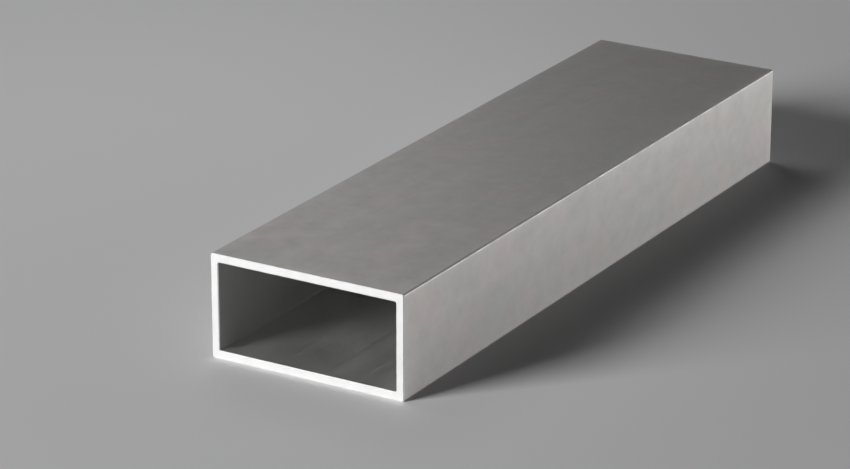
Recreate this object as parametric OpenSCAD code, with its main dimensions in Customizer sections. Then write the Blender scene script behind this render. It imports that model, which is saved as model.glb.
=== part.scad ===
// Rectangular tube: one straight length of extruded hollow section, sawn square at both ends.
// The length runs along Y, the wide faces lie flat, and the origin is the middle of the underside.

/* [Section] */
// Outside width, across the two narrow faces
section_w = 50; // [20:1:200]
// Outside height, across the two wide faces
section_h = 25; // [16:1:100]
// Wall thickness, the same on all four sides
wall = 2; // [1:0.1:5]
// Radius of the four outside corners, as the die leaves them
outside_r = 0.5; // [0.4:0.1:1.5]
// Radius of the four inside corners
inside_r = 0.4; // [0.2:0.1:2.5]

/* [Cut length] */
// Length between the two sawn ends
cut_l = 182; // [40:1:6000]

/* [Sawn ends] */
// Width of the deburred edge round each sawn end, outside and inside
edge_break = 0.2; // [0.05:0.05:0.3]

/* [Hidden] */

$fn = 48;
mill_grey = [0.62, 0.61, 0.59];

// Size of the hollow that runs through the section
bore_w = section_w - 2 * wall;
bore_h = section_h - 2 * wall;

// How far the hollow is carried past each sawn end, so that it cuts right through
overrun = 1;

// Stations along the length, each [place, growth]: at that place every side of a section stands
// further out by the growth. The outside draws in at its deburred ends, and the hollow flares.
outside_stations = mirrored([[cut_l / 2 - edge_break, 0], [cut_l / 2, -edge_break]]);
bore_stations = mirrored([[cut_l / 2 - edge_break, 0], [cut_l / 2 + overrun, edge_break + overrun]]);

// The stations of one half of the length, with the other half in front of them
function mirrored(half) = concat([for (i = [len(half) - 1:-1:0]) [-half[i][0], half[i][1]]], half);

// Outline, seen from the side, of a bar that is reach from its middle to each edge
function side_outline(reach, stations) = concat(
    [for (s = stations) [reach + s[1], s[0]]],
    [for (i = [len(stations) - 1:-1:0]) [-reach - stations[i][1], stations[i][0]]]
);

// One rounded corner of a bar, running along Z
module corner_post(r, stations) {
    for (i = [1:len(stations) - 1]) {
        from = stations[i - 1];
        to = stations[i];
        translate([0, 0, from[0]])
            cylinder(h = to[0] - from[0], r1 = r + from[1], r2 = r + to[1]);
    }
}

// A bar along Z with a rounded rectangular section that grows and shrinks at its stations
module rounded_bar(w, h, r, stations) {
    core_w = w - 2 * r;
    core_h = h - 2 * r;
    rotate([90, 0, 90])
        linear_extrude(height = core_w, center = true)
            polygon(side_outline(h / 2, stations));
    rotate([90, 0, 0])
        linear_extrude(height = core_h, center = true)
            polygon(side_outline(w / 2, stations));
    for (x = [-core_w / 2, core_w / 2], y = [-core_h / 2, core_h / 2])
        translate([x, y, 0])
            corner_post(r, stations);
}

module rectangular_tube() {
    color(mill_grey)
        translate([0, 0, section_h / 2])
            rotate([90, 0, 0])
                difference() {
                    rounded_bar(section_w, section_h, outside_r, outside_stations);
                    rounded_bar(bore_w, bore_h, inside_r, bore_stations);
                }
}

rectangular_tube();
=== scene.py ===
import math

import bpy
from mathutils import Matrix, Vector


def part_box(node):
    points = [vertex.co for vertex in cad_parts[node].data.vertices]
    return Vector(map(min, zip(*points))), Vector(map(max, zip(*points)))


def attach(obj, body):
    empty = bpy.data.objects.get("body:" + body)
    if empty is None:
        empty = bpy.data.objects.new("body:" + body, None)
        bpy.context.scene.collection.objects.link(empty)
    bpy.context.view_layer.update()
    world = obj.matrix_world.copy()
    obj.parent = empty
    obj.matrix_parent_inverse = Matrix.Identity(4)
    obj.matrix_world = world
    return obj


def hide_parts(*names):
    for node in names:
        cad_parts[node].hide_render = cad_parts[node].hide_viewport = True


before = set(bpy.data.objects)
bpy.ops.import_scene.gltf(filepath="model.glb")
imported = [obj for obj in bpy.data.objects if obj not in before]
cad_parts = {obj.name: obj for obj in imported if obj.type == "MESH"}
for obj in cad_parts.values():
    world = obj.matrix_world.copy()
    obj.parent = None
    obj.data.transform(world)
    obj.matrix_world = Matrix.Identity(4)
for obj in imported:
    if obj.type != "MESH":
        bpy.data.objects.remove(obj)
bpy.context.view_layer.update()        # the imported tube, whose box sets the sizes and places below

# The tube, in metres: its box from the frame, and the small sizes of the stock
tube_low, tube_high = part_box("rectangular_tube")
WIDTH, LENGTH, HEIGHT = tube_high - tube_low
CENTRE = (tube_low + tube_high) / 2
WALL = 0.002
OUTSIDE_RADIUS = 0.0005
INSIDE_RADIUS = 0.0004
EDGE_BREAK = 0.0002

# The file that deburred the ends: the share by which the edge break swings, and how fast it ripples
DEBURR_WANDER = 0.35
DEBURR_RIPPLES = 9.0

# The saw, in metres: the middle of its blade from the tube's centre, the spacing of its coarse and fine
# marks, the depth of the coarse ones, and how many times to the metre they drift
BLADE_CENTRE = (-0.070, 0.0, -0.110)
FEED_PITCH = 0.0011
TOOTH_PITCH = 0.0003
SAW_DEPTH = 8e-6
SAW_DRIFT = 160.0

# Seed of the tube's shape, and the step between the seeds of its deburred edges
SHAPE_SEED = 7.0
EDGE_SEED_STEP = 10.0

# Cells of the tube's mesh: round each quarter of the section, and across each kind of band
FLAT_CELLS = 160
CORNER_CELLS = 8
QUARTER_CELLS = FLAT_CELLS + CORNER_CELLS
AROUND_CELLS = 4 * QUARTER_CELLS
AROUND_POINTS = AROUND_CELLS + 1
WALL_CELLS = 12
EDGE_CELLS = 2
SAWN_CELLS = 10

# Points closer than this, in metres, are one point, and an edge that turns by more than this is left crisp
WELD_DISTANCE = 1e-6
SHARP_ANGLE = math.radians(30.0)

# The two ends along the tube, and which way a section goes at its deburred edge
NEAR, FAR = -1.0, 1.0
SHRINKS, GROWS = -1.0, 1.0

# Regions of the tube's surface, by finish: whole numbers on its faces, told apart by half a step
SKIN, SAWN, HOLLOW = range(3)
FINISH_NAMES = {SKIN: "Skin", SAWN: "Sawn", HOLLOW: "Hollow"}
REGION_MARK = "region"
REGION_MARGIN = 0.5

# Colours of the three finishes, and how rough each is from its clear patches to its clouded ones
SKIN_COOL = (0.624, 0.630, 0.604, 1.0)
SKIN_WARM = (0.676, 0.626, 0.616, 1.0)
SKIN_DULL = (0.44, 0.44, 0.43, 1.0)
SKIN_RUBBED = (0.74, 0.73, 0.715, 1.0)
SKIN_ROUGHNESS = (0.49, 0.55)
SAWN_PLAIN = (0.915, 0.915, 0.905, 1.0)
SAWN_BRIGHT = (0.945, 0.945, 0.94, 1.0)
SAWN_ARC = (0.80, 0.80, 0.795, 1.0)
SAWN_ROUGHNESS = (0.62, 0.68)
# The hollow's two greys are paler than the skin's: painted light, standing in for light that reaches
# inside the tube
HOLLOW_PLAIN_WITH_PAINTED_LIGHT = (0.74, 0.737, 0.73, 1.0)
HOLLOW_PALE_WITH_PAINTED_LIGHT = (0.79, 0.787, 0.78, 1.0)
HOLLOW_STREAK = (0.60, 0.60, 0.595, 1.0)
HOLLOW_ROUGHNESS = (0.44, 0.50)

# Camera, where the photograph was taken from: angles in degrees, and the nearest distance that it shows
CAMERA_PLACE = Vector((0.4020, -0.7136, 0.3129))
CAMERA_AZIMUTH = 30.836
CAMERA_ELEVATION = 20.626
CAMERA_LENS_MM = 154.5
CAMERA_SENSOR_MM = 36.0
CAMERA_NEAREST = 0.01

# Soft boxes round the tube: name, azimuth and elevation in degrees, distance, width, height and watts.
# Azimuth 0 is in front of the near end, and 90 is on the right.
SOFT_BOXES = [
    ("front_box", 330.0, 20.0, 1.80, 0.65, 0.65, 30.0),
    ("low_right_strip", 140.0, 1.5, 1.30, 0.87, 0.06, 5.40),
    ("rear_box", 234.0, 50.0, 0.30, 0.15, 0.15, 0.096),
]

# Strength of the even light from all round
AMBIENT = 0.005

# Graduated backdrop: its colours at the horizon and overhead, and the rise of a ray from one to the other
HORIZON = (0.375, 0.375, 0.38, 1.0)
OVERHEAD = (0.06, 0.06, 0.061, 1.0)
BACKDROP_RISE = (0.10, 0.25)

# Pale paper floor: its look, half its width, and how far from the tube its fade starts and ends, in metres
FLOOR_COLOUR = (0.82, 0.82, 0.83, 1.0)
FLOOR_ROUGHNESS = 0.9
FLOOR_SHINE = 0.1
FLOOR_REACH = 12.0
FLOOR_FADE = (0.08, 0.42)

# Sockets of a Mix node for each kind of data: its start and end inputs, and its output
MIX_SOCKETS = {"FLOAT": (2, 3, 0), "VECTOR": (4, 5, 1), "RGBA": (6, 7, 2)}


# Helpers for node trees

def feed(tree, socket, value):
    """Links a socket to another one, or sets it to a plain value."""
    if isinstance(value, bpy.types.NodeSocket):
        tree.links.new(value, socket)
    else:
        socket.default_value = value


def add(tree, kind, inputs=None, **settings):
    """A new node with these settings, and with inputs fed by name or number."""
    node = tree.nodes.new(kind)
    for name, value in settings.items():
        setattr(node, name, value)
    for key, value in (inputs or {}).items():
        feed(tree, node.inputs[key], value)
    return node


def calc(tree, operation, *values, clamp=False):
    """Result of one step of arithmetic."""
    node = add(tree, "ShaderNodeMath", dict(enumerate(values)), operation=operation, use_clamp=clamp)
    return node.outputs[0]


def add_shares(tree, start, *shares):
    """Start value plus each mask times its weight."""
    total = start
    for mask, weight in shares:
        total = calc(tree, "MULTIPLY_ADD", mask, weight, total)
    return total


def vector_calc(tree, operation, *values):
    """Result of one step of vector arithmetic."""
    node = add(tree, "ShaderNodeVectorMath", dict(enumerate(values)), operation=operation)
    return node.outputs["Vector"]


def length_of(tree, vector):
    """Length of a vector."""
    return add(tree, "ShaderNodeVectorMath", {0: vector}, operation="LENGTH").outputs["Value"]


def vector_of(tree, x, y, z):
    """Vector from three numbers."""
    return add(tree, "ShaderNodeCombineXYZ", {0: x, 1: y, 2: z}).outputs[0]


def parts_of(tree, vector):
    """The three numbers of a vector."""
    return add(tree, "ShaderNodeSeparateXYZ", {0: vector}).outputs


def turned(tree, vector, angle):
    """Vector turned about Z."""
    inputs = {"Vector": vector, "Angle": angle}
    return add(tree, "ShaderNodeVectorRotate", inputs, rotation_type="Z_AXIS").outputs[0]


def blend(tree, kind, share, start, end):
    """Number, vector or colour that goes from start to end as share goes from 0 to 1."""
    start_input, end_input, result = MIX_SOCKETS[kind]
    node = add(tree, "ShaderNodeMix", {0: share, start_input: start, end_input: end}, data_type=kind)
    return node.outputs[result]


def spread(tree, value, low, high, to_low=0.0, to_high=1.0):
    """Value taken from one range to another, held inside it."""
    inputs = {0: value, 1: low, 2: high, 3: to_low, 4: to_high}
    return add(tree, "ShaderNodeMapRange", inputs).outputs[0]


def noise_at(tree, place, seed, scale, detail, distortion=0.0):
    """Noise from 0 to 1 at a place, with a pattern of its own for each seed."""
    inputs = {"Vector": place, "W": seed, "Scale": scale, "Detail": detail, "Distortion": distortion}
    return add(tree, "ShaderNodeTexNoise", inputs, noise_dimensions="4D").outputs[0]


def blade_distance(tree, place, blade_centre):
    """Distance across the tube, from the middle of the saw's blade to a place."""
    x, _, z = parts_of(tree, place)
    return length_of(tree, vector_calc(tree, "SUBTRACT", vector_of(tree, x, 0.0, z), blade_centre))


def new_group(name, kind, inputs, outputs):
    """A node group with named sockets, and its own input and output nodes."""
    tree = bpy.data.node_groups.new(name, kind)
    for socket_name, socket_kind in inputs:
        tree.interface.new_socket(socket_name, in_out="INPUT", socket_type="NodeSocket" + socket_kind)
    for socket_name, socket_kind in outputs:
        tree.interface.new_socket(socket_name, in_out="OUTPUT", socket_type="NodeSocket" + socket_kind)
    given = tree.nodes.new("NodeGroupInput").outputs
    made = tree.nodes.new("NodeGroupOutput").inputs
    return tree, given, made


def use_group(tree, group, inputs):
    """A node group placed in a tree, with its inputs fed by name; its outputs come back."""
    kind = "GeometryNodeGroup" if tree.bl_idname == "GeometryNodeTree" else "ShaderNodeGroup"
    return add(tree, kind, inputs, node_tree=group).outputs


def new_object(name, data):
    """A new object, placed in the scene."""
    placed = bpy.data.objects.new(name, data)
    bpy.context.scene.collection.objects.link(placed)
    return placed


# The tube's shape, by Geometry Nodes

def rounded_section():
    """Point of a rounded rectangle at a step round it; each quarter is a flat and then a corner.

    Section holds half the width, half the height and the corner radius.
    """
    inputs = [("Step", "Int"), ("Section", "Vector")]
    tree, given, made = new_group("rounded_section", "GeometryNodeTree", inputs, [("Point", "Vector")])
    quarter = calc(tree, "FLOOR", calc(tree, "DIVIDE", given["Step"], QUARTER_CELLS))
    step = calc(tree, "FLOORED_MODULO", given["Step"], QUARTER_CELLS)
    along = calc(tree, "DIVIDE", step, FLAT_CELLS, clamp=True)
    turn = calc(tree, "DIVIDE", calc(tree, "SUBTRACT", step, FLAT_CELLS), CORNER_CELLS, clamp=True)
    right_angle = math.pi / 2
    flat_angle = calc(tree, "MULTIPLY", quarter, right_angle)
    turn_angle = calc(tree, "MULTIPLY", calc(tree, "ADD", quarter, turn), right_angle)
    start = vector_of(tree, 1.0, calc(tree, "MULTIPLY_ADD", along, 2.0, -1.0), 0.0)
    core = turned(tree, start, flat_angle)
    outward = turned(tree, (1.0, 0.0, 0.0), turn_angle)
    radius = parts_of(tree, given["Section"])[2]
    radius_each_way = vector_of(tree, radius, radius, radius)
    core_reach = vector_calc(tree, "SUBTRACT", given["Section"], radius_each_way)
    core_point = vector_calc(tree, "MULTIPLY", core, core_reach)
    feed(tree, made["Point"], vector_calc(tree, "MULTIPLY_ADD", outward, radius_each_way, core_point))
    return tree


def step_round(tree):
    """Step of a band's point round the section."""
    index = tree.nodes.new("GeometryNodeInputIndex").outputs[0]
    return calc(tree, "FLOORED_MODULO", index, AROUND_POINTS)


def section_band(section_group):
    """Band of faces between two sections, each at its place along the tube."""
    inputs = [
        ("Start Section", "Vector"),
        ("Start Place", "Float"),
        ("End Section", "Vector"),
        ("End Place", "Float"),
        ("Cells", "Int"),
        ("Region", "Int"),
    ]
    tree, given, made = new_group("section_band", "GeometryNodeTree", inputs, [("Band", "Geometry")])
    rows = calc(tree, "ADD", given["Cells"], 1)
    grid = add(tree, "GeometryNodeMeshGrid", {"Vertices X": rows, "Vertices Y": AROUND_POINTS})
    index = tree.nodes.new("GeometryNodeInputIndex").outputs[0]
    row = calc(tree, "FLOOR", calc(tree, "DIVIDE", index, AROUND_POINTS))
    share = calc(tree, "DIVIDE", row, given["Cells"])
    section = blend(tree, "VECTOR", share, given["Start Section"], given["End Section"])
    place = blend(tree, "FLOAT", share, given["Start Place"], given["End Place"])
    point = use_group(tree, section_group, {"Step": step_round(tree), "Section": section})["Point"]
    across, up, _ = parts_of(tree, point)
    position = vector_of(tree, across, place, up)
    shaped = add(tree, "GeometryNodeSetPosition", {"Geometry": grid.outputs["Mesh"], "Position": position})
    marked = add(
        tree,
        "GeometryNodeStoreNamedAttribute",
        {"Geometry": shaped.outputs[0], "Name": REGION_MARK, "Value": given["Region"]},
        data_type="INT",
        domain="FACE",
    )
    feed(tree, made["Band"], marked.outputs[0])
    return tree


def deburred_width(tree, given, edge):
    """Width of one deburred edge, which wanders round the section as a file leaves it."""
    angle = calc(tree, "MULTIPLY", step_round(tree), 2 * math.pi / AROUND_CELLS)
    circle = vector_of(tree, calc(tree, "COSINE", angle), calc(tree, "SINE", angle), 0.0)
    seed = calc(tree, "ADD", given["Seed"], EDGE_SEED_STEP * edge)
    noise = noise_at(tree, circle, seed, scale=DEBURR_RIPPLES, detail=2.0)
    swing = calc(tree, "MULTIPLY", calc(tree, "MULTIPLY_ADD", noise, 2.0, -1.0), given["Deburr Wander"])
    return calc(tree, "MULTIPLY", given["Edge Break"], calc(tree, "ADD", swing, 1.0))


def saw_relief(tree, given, mesh):
    """The mesh with the blade's arcs pressed into its two sawn faces."""
    position = tree.nodes.new("GeometryNodeInputPosition").outputs[0]
    y = parts_of(tree, position)[1]
    half_length = calc(tree, "MULTIPLY", given["Length"], 0.5)
    almost_end = calc(tree, "SUBTRACT", half_length, WELD_DISTANCE)
    on_end = calc(tree, "GREATER_THAN", calc(tree, "ABSOLUTE", y), almost_end)
    distance = blade_distance(tree, position, given["Blade Centre"])
    pitches = calc(tree, "DIVIDE", distance, given["Saw Pitch"])
    drift = noise_at(tree, position, given["Seed"], scale=SAW_DRIFT, detail=1.0)
    phase = calc(tree, "MULTIPLY", calc(tree, "ADD", pitches, drift), 2 * math.pi)
    wave = calc(tree, "MULTIPLY_ADD", calc(tree, "SINE", phase), 0.5, 0.5)
    depth = calc(tree, "MULTIPLY", wave, given["Saw Depth"])
    inward = calc(tree, "MULTIPLY", calc(tree, "SIGN", y), calc(tree, "MULTIPLY", depth, -1.0))
    inputs = {"Geometry": mesh, "Selection": on_end, "Offset": vector_of(tree, 0.0, inward, 0.0)}
    return add(tree, "GeometryNodeSetPosition", inputs).outputs[0]


def shaded(tree, mesh):
    """The mesh shaded smooth, apart from its crisp edges."""
    inputs = {"Geometry": mesh, "Shade Smooth": True}
    smooth = add(tree, "GeometryNodeSetShadeSmooth", inputs, domain="FACE").outputs[0]
    edge_angle = tree.nodes.new("GeometryNodeInputMeshEdgeAngle").outputs["Unsigned Angle"]
    sharp = calc(tree, "GREATER_THAN", edge_angle, SHARP_ANGLE)
    inputs = {"Geometry": smooth, "Selection": sharp, "Shade Smooth": False}
    return add(tree, "GeometryNodeSetShadeSmooth", inputs, domain="EDGE").outputs[0]


def with_finishes(tree, given, mesh):
    """The mesh with each region's material on its faces."""
    finished = add(tree, "GeometryNodeRealizeInstances", {"Geometry": mesh}).outputs[0]
    mark = add(tree, "GeometryNodeInputNamedAttribute", {"Name": REGION_MARK}, data_type="INT").outputs[0]
    for region, name in FINISH_NAMES.items():
        chosen = calc(tree, "COMPARE", mark, region, REGION_MARGIN)
        inputs = {"Geometry": finished, "Selection": chosen, "Material": given[name]}
        finished = add(tree, "GeometryNodeSetMaterial", inputs).outputs[0]
    return finished


def sawn_tube():
    """The whole tube: a loop of bands round its wall, welded, with a finish for each region."""
    sizes = ["Width", "Height", "Length", "Wall", "Outside Radius", "Inside Radius", "Edge Break"]
    sizes += ["Deburr Wander", "Saw Pitch", "Saw Depth", "Seed"]
    inputs = [(name, "Float") for name in sizes]
    inputs += [("Centre", "Vector"), ("Blade Centre", "Vector")]
    inputs += [(name, "Material") for name in FINISH_NAMES.values()]
    tree, given, made = new_group("sawn_tube", "GeometryNodeTree", inputs, [("Tube", "Geometry")])
    half_width = calc(tree, "MULTIPLY", given["Width"], 0.5)
    half_height = calc(tree, "MULTIPLY", given["Height"], 0.5)
    half_length = calc(tree, "MULTIPLY", given["Length"], 0.5)
    outside = vector_of(tree, half_width, half_height, given["Outside Radius"])
    inside = vector_of(
        tree,
        calc(tree, "SUBTRACT", half_width, given["Wall"]),
        calc(tree, "SUBTRACT", half_height, given["Wall"]),
        given["Inside Radius"],
    )

    def stations(section, end, growth, edge):
        """A section before its deburred edge and after it, at one end of the tube."""
        width = deburred_width(tree, given, edge)
        change = calc(tree, "MULTIPLY", width, growth)
        grown = vector_calc(tree, "ADD", section, vector_of(tree, change, change, change))
        before = calc(tree, "MULTIPLY", calc(tree, "SUBTRACT", half_length, width), end)
        after = calc(tree, "MULTIPLY", half_length, end)
        return (section, before), (grown, after)

    near_skin, near_rim = stations(outside, NEAR, SHRINKS, 0)
    far_skin, far_rim = stations(outside, FAR, SHRINKS, 1)
    far_hollow, far_lip = stations(inside, FAR, GROWS, 2)
    near_hollow, near_lip = stations(inside, NEAR, GROWS, 3)
    loop = [
        (near_skin, WALL_CELLS, SKIN),
        (far_skin, EDGE_CELLS, SAWN),
        (far_rim, SAWN_CELLS, SAWN),
        (far_lip, EDGE_CELLS, SAWN),
        (far_hollow, WALL_CELLS, HOLLOW),
        (near_hollow, EDGE_CELLS, SAWN),
        (near_lip, SAWN_CELLS, SAWN),
        (near_rim, EDGE_CELLS, SAWN),
    ]
    band_group = section_band(rounded_section())
    joined = tree.nodes.new("GeometryNodeJoinGeometry")
    for (start, cells, region), (end, _, _) in zip(loop, loop[1:] + loop[:1]):
        band = use_group(tree, band_group, {
            "Start Section": start[0],
            "Start Place": start[1],
            "End Section": end[0],
            "End Place": end[1],
            "Cells": cells,
            "Region": region,
        })
        tree.links.new(band["Band"], joined.inputs[0])
    inputs = {"Geometry": joined.outputs[0], "Distance": WELD_DISTANCE}
    welded = add(tree, "GeometryNodeMergeByDistance", inputs).outputs[0]
    inputs = {"Geometry": saw_relief(tree, given, welded), "Translation": given["Centre"]}
    placed = add(tree, "GeometryNodeTransform", inputs).outputs[0]
    feed(tree, made["Tube"], with_finishes(tree, given, shaded(tree, placed)))
    return tree


def shape_from(tree, name, values):
    """A piece whose plain mesh is what the tree makes from these values."""
    piece = new_object(name, bpy.data.meshes.new(name))
    modifier = piece.modifiers.new("shape", "NODES")
    modifier.node_group = tree
    for socket in tree.interface.items_tree:
        if socket.in_out == "INPUT":
            modifier[socket.identifier] = values[socket.name]
    depsgraph = bpy.context.evaluated_depsgraph_get()
    mesh = bpy.data.meshes.new_from_object(piece.evaluated_get(depsgraph), depsgraph=depsgraph)
    piece.modifiers.remove(modifier)
    piece.data = mesh
    mesh.name = name
    return piece


# Finishes

def new_material(name, metallic):
    """A material with its tree and its shader."""
    material = bpy.data.materials.new(name)
    material.use_nodes = True
    tree = material.node_tree
    shader = tree.nodes["Principled BSDF"]
    shader.inputs["Metallic"].default_value = metallic
    return material, tree, shader


def object_place(tree):
    """Place on a piece, in the object's own metres."""
    return tree.nodes.new("ShaderNodeTexCoord").outputs["Object"]


def press_in(tree, shader, height, strength, depth):
    """Gives a shader the relief of a height, to a depth in metres."""
    inputs = {"Height": height, "Strength": strength, "Distance": depth}
    feed(tree, shader.inputs["Normal"], add(tree, "ShaderNodeBump", inputs).outputs[0])


def die_lines():
    """Fine lines along the tube, as the die draws them: a value from 0 to 1.

    Lines is how many there are to the metre, and Straightness how many times longer than wide they are.
    """
    inputs = [("Lines", "Float"), ("Straightness", "Float"), ("Seed", "Float")]
    tree, given, made = new_group("die_lines", "ShaderNodeTree", inputs, [("Line", "Float")])
    along = calc(tree, "DIVIDE", given["Lines"], given["Straightness"])
    scale = vector_of(tree, given["Lines"], along, given["Lines"])
    stretched = vector_calc(tree, "MULTIPLY", object_place(tree), scale)
    noise = noise_at(tree, stretched, given["Seed"], scale=1.0, detail=2.0)
    feed(tree, made["Line"], spread(tree, noise, 0.25, 0.75))
    return tree


def oxide_cloud():
    """Soft blotches of the oxide skin, so many to the metre: a value from 0 to 1."""
    inputs = [("Blotches", "Float"), ("Seed", "Float")]
    tree, given, made = new_group("oxide_cloud", "ShaderNodeTree", inputs, [("Cloud", "Float")])
    place = object_place(tree)
    noise = noise_at(tree, place, given["Seed"], given["Blotches"], detail=3.0, distortion=0.4)
    feed(tree, made["Cloud"], spread(tree, noise, 0.3, 0.7))
    return tree


def rubbed_edge():
    """Rub along the tube's outer edges, from 0 to 1: within Reach of an edge, broken up by wear."""
    inputs = [("Reach", "Float"), ("Seed", "Float")]
    tree, given, made = new_group("rubbed_edge", "ShaderNodeTree", inputs, [("Rub", "Float")])
    place = object_place(tree)
    from_centre = vector_calc(tree, "SUBTRACT", place, CENTRE)
    half_size = Vector((WIDTH / 2, LENGTH / 2, HEIGHT / 2))
    depth = vector_calc(tree, "SUBTRACT", half_size, vector_calc(tree, "ABSOLUTE", from_centre))
    across, along, up = parts_of(tree, depth)
    # Depth below the nearest face is about none on the outside, so the second least is the way to an edge
    less = calc(tree, "MINIMUM", across, along)
    more = calc(tree, "MAXIMUM", across, along)
    to_edge = calc(tree, "MAXIMUM", less, calc(tree, "MINIMUM", more, up))
    wear = noise_at(tree, place, given["Seed"], scale=350.0, detail=3.0)
    reach = calc(tree, "MULTIPLY", given["Reach"], spread(tree, wear, 0.35, 0.65, to_low=0.3))
    feed(tree, made["Rub"], calc(tree, "SUBTRACT", 1.0, calc(tree, "DIVIDE", to_edge, reach), clamp=True))
    return tree


def mill_skin(lines_group, cloud_group, rub_group):
    """The outside, as the die left it: satin oxide with faint lines, clouds, mottle and rubbed edges."""
    material, tree, shader = new_material("mill_skin", metallic=1.0)
    line = use_group(tree, lines_group, {"Lines": 2400.0, "Straightness": 180.0, "Seed": 1.0})["Line"]
    streak = use_group(tree, lines_group, {"Lines": 420.0, "Straightness": 60.0, "Seed": 2.0})["Line"]
    cloud = use_group(tree, cloud_group, {"Blotches": 150.0, "Seed": 1.0})["Cloud"]
    mottle = use_group(tree, cloud_group, {"Blotches": 420.0, "Seed": 9.0})["Cloud"]
    tint = use_group(tree, cloud_group, {"Blotches": 75.0, "Seed": 4.0})["Cloud"]
    worn = use_group(tree, rub_group, {"Reach": 0.0012, "Seed": 5.0})["Rub"]
    handled = use_group(tree, rub_group, {"Reach": 0.0060, "Seed": 8.0})["Rub"]
    grey = blend(tree, "RGBA", tint, SKIN_COOL, SKIN_WARM)
    dull = add_shares(tree, 0.0, (cloud, 0.24), (streak, 0.12), (mottle, 0.18))
    oxide = blend(tree, "RGBA", dull, grey, SKIN_DULL)
    rub = add_shares(tree, 0.0, (handled, 0.25), (worn, 0.15))
    feed(tree, shader.inputs["Base Color"], blend(tree, "RGBA", rub, oxide, SKIN_RUBBED))
    satin = blend(tree, "FLOAT", cloud, *SKIN_ROUGHNESS)
    rough = add_shares(tree, satin, (line, 0.06), (worn, 0.14), (streak, 0.03))
    feed(tree, shader.inputs["Roughness"], rough)
    press_in(tree, shader, line, strength=0.4, depth=1e-5)
    return material


def sawn_metal(cloud_group, rub_group):
    """The ends and their deburred edges: bare bright metal with the blade's fine arcs."""
    material, tree, shader = new_material("sawn_metal", metallic=1.0)
    cloud = use_group(tree, cloud_group, {"Blotches": 400.0, "Seed": 2.0})["Cloud"]
    rub = use_group(tree, rub_group, {"Reach": 0.0005, "Seed": 6.0})["Rub"]
    from_centre = vector_calc(tree, "SUBTRACT", object_place(tree), CENTRE)
    distance = blade_distance(tree, from_centre, BLADE_CENTRE)
    inputs = {"W": calc(tree, "MULTIPLY", distance, 1.0 / TOOTH_PITCH), "Scale": 1.0, "Detail": 2.0}
    arc = add(tree, "ShaderNodeTexNoise", inputs, noise_dimensions="1D").outputs[0]
    bright = blend(tree, "RGBA", cloud, SAWN_PLAIN, SAWN_BRIGHT)
    colour = blend(tree, "RGBA", calc(tree, "MULTIPLY", arc, 0.15), bright, SAWN_ARC)
    feed(tree, shader.inputs["Base Color"], colour)
    matt = blend(tree, "FLOAT", cloud, *SAWN_ROUGHNESS)
    feed(tree, shader.inputs["Roughness"], add_shares(tree, matt, (rub, -0.08)))
    press_in(tree, shader, arc, strength=0.35, depth=1e-5)
    return material


def hollow_skin_with_painted_light(lines_group, cloud_group):
    """The hollow: oxide painted paler than the outside skin, as painted light inside the tube, with
    plainer lines from the die's core.
    """
    material, tree, shader = new_material("hollow_skin_with_painted_light", metallic=1.0)
    line = use_group(tree, lines_group, {"Lines": 1600.0, "Straightness": 180.0, "Seed": 3.0})["Line"]
    streak = use_group(tree, lines_group, {"Lines": 380.0, "Straightness": 60.0, "Seed": 4.0})["Line"]
    cloud = use_group(tree, cloud_group, {"Blotches": 60.0, "Seed": 3.0})["Cloud"]
    # Greys paler than the skin's: painted light inside the hollow
    grey = blend(tree, "RGBA", cloud, HOLLOW_PLAIN_WITH_PAINTED_LIGHT, HOLLOW_PALE_WITH_PAINTED_LIGHT)
    colour = blend(tree, "RGBA", calc(tree, "MULTIPLY", streak, 0.12), grey, HOLLOW_STREAK)
    feed(tree, shader.inputs["Base Color"], colour)
    satin = blend(tree, "FLOAT", cloud, *HOLLOW_ROUGHNESS)
    feed(tree, shader.inputs["Roughness"], add_shares(tree, satin, (line, 0.10)))
    press_in(tree, shader, line, strength=0.6, depth=1.2e-5)
    return material


# Stage, light and camera

def direction_to(azimuth, elevation):
    """Direction from the tube to a place at these angles, in degrees."""
    around, up = math.radians(azimuth), math.radians(elevation)
    return Vector((math.sin(around) * math.cos(up), -math.cos(around) * math.cos(up), math.sin(up)))


def make_camera():
    """The camera, at the photograph's place."""
    camera = new_object("camera", bpy.data.cameras.new("camera"))
    camera.location = CAMERA_PLACE
    camera.rotation_mode = "QUATERNION"
    camera.rotation_quaternion = (-direction_to(CAMERA_AZIMUTH, CAMERA_ELEVATION)).to_track_quat("-Z", "Y")
    camera.data.lens = CAMERA_LENS_MM
    camera.data.sensor_width = CAMERA_SENSOR_MM
    camera.data.clip_start = CAMERA_NEAREST
    bpy.context.scene.camera = camera


def seen_rays(tree):
    """1 for the rays that see the backdrop: the camera's, and those that metal and glass send on."""
    ray = tree.nodes.new("ShaderNodeLightPath").outputs
    seen = calc(tree, "MAXIMUM", ray["Is Camera Ray"], ray["Is Glossy Ray"])
    return calc(tree, "MAXIMUM", seen, ray["Is Transmission Ray"])


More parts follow.
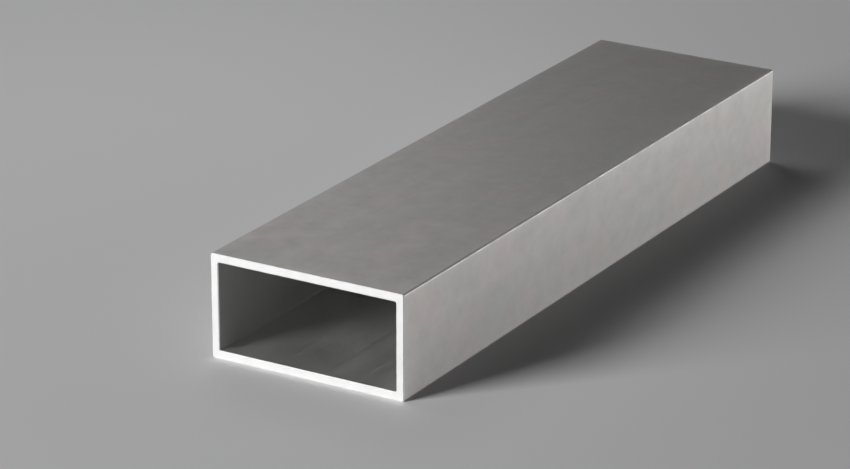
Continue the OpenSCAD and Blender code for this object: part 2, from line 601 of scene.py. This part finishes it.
def make_floor():
    """A pale floor that keeps the tube's shadow and fades into the backdrop away from it."""
    reach = FLOOR_REACH
    corners = [(-reach, -reach, 0.0), (reach, -reach, 0.0), (reach, reach, 0.0), (-reach, reach, 0.0)]
    mesh = bpy.data.meshes.new("floor")
    mesh.from_pydata(corners, [], [(0, 1, 2, 3)])
    floor = new_object("floor", mesh)
    material, tree, paper = new_material("floor_paper", metallic=0.0)
    paper.inputs["Base Color"].default_value = FLOOR_COLOUR
    paper.inputs["Roughness"].default_value = FLOOR_ROUGHNESS
    paper.inputs["Specular IOR Level"].default_value = FLOOR_SHINE
    backdrop = add(tree, "ShaderNodeEmission", {"Color": HORIZON})
    from_middle = vector_calc(tree, "ABSOLUTE", object_place(tree))
    beyond = vector_calc(tree, "SUBTRACT", from_middle, (WIDTH / 2, LENGTH / 2, 0.0))
    distance = length_of(tree, vector_calc(tree, "MAXIMUM", beyond, (0.0, 0.0, 0.0)))
    fade = calc(tree, "MULTIPLY", spread(tree, distance, *FLOOR_FADE), seen_rays(tree))
    mixed = add(tree, "ShaderNodeMixShader", {0: fade, 1: paper.outputs[0], 2: backdrop.outputs[0]})
    feed(tree, tree.nodes["Material Output"].inputs["Surface"], mixed.outputs[0])
    mesh.materials.append(material)


def make_soft_boxes():
    """Soft boxes aimed at the tube."""
    for name, azimuth, elevation, distance, width, height, power in SOFT_BOXES:
        lamp = bpy.data.lights.new(name, "AREA")
        lamp.shape = "RECTANGLE"
        lamp.size = width
        lamp.size_y = height
        lamp.energy = power
        box = new_object(name, lamp)
        towards_box = direction_to(azimuth, elevation)
        box.location = CENTRE + distance * towards_box
        box.rotation_euler = (-towards_box).to_track_quat("-Z", "Y").to_euler()
        box.visible_camera = False


def make_surround():
    """The graduated backdrop, which the camera and the metal see, and a little even light."""
    world = bpy.data.worlds.new("surround")
    bpy.context.scene.world = world
    world.use_nodes = True
    tree = world.node_tree
    ambient = tree.nodes["Background"]
    ambient.inputs["Color"].default_value = (1.0, 1.0, 1.0, 1.0)
    ambient.inputs["Strength"].default_value = AMBIENT
    towards = tree.nodes.new("ShaderNodeTexCoord").outputs["Generated"]
    rise = spread(tree, parts_of(tree, towards)[2], *BACKDROP_RISE)
    colour = blend(tree, "RGBA", rise, HORIZON, OVERHEAD)
    backdrop = add(tree, "ShaderNodeBackground", {"Color": colour, "Strength": 1.0})
    shaders = {0: seen_rays(tree), 1: ambient.outputs[0], 2: backdrop.outputs[0]}
    mixed = add(tree, "ShaderNodeMixShader", shaders)
    feed(tree, tree.nodes["World Output"].inputs["Surface"], mixed.outputs[0])


bpy.context.scene.view_settings.view_transform = "Standard"
make_camera()
make_floor()
make_soft_boxes()
make_surround()

lines = die_lines()
clouds = oxide_cloud()
rubs = rubbed_edge()
tube = shape_from(sawn_tube(), "extruded_tube", {
    "Width": WIDTH,
    "Height": HEIGHT,
    "Length": LENGTH,
    "Wall": WALL,
    "Outside Radius": OUTSIDE_RADIUS,
    "Inside Radius": INSIDE_RADIUS,
    "Edge Break": EDGE_BREAK,
    "Deburr Wander": DEBURR_WANDER,
    "Saw Pitch": FEED_PITCH,
    "Saw Depth": SAW_DEPTH,
    "Seed": SHAPE_SEED,
    "Centre": CENTRE,
    "Blade Centre": BLADE_CENTRE,
    "Skin": mill_skin(lines, clouds, rubs),
    "Sawn": sawn_metal(clouds, rubs),
    "Hollow": hollow_skin_with_painted_light(lines, clouds),
})
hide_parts("rectangular_tube")
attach(tube, "root")
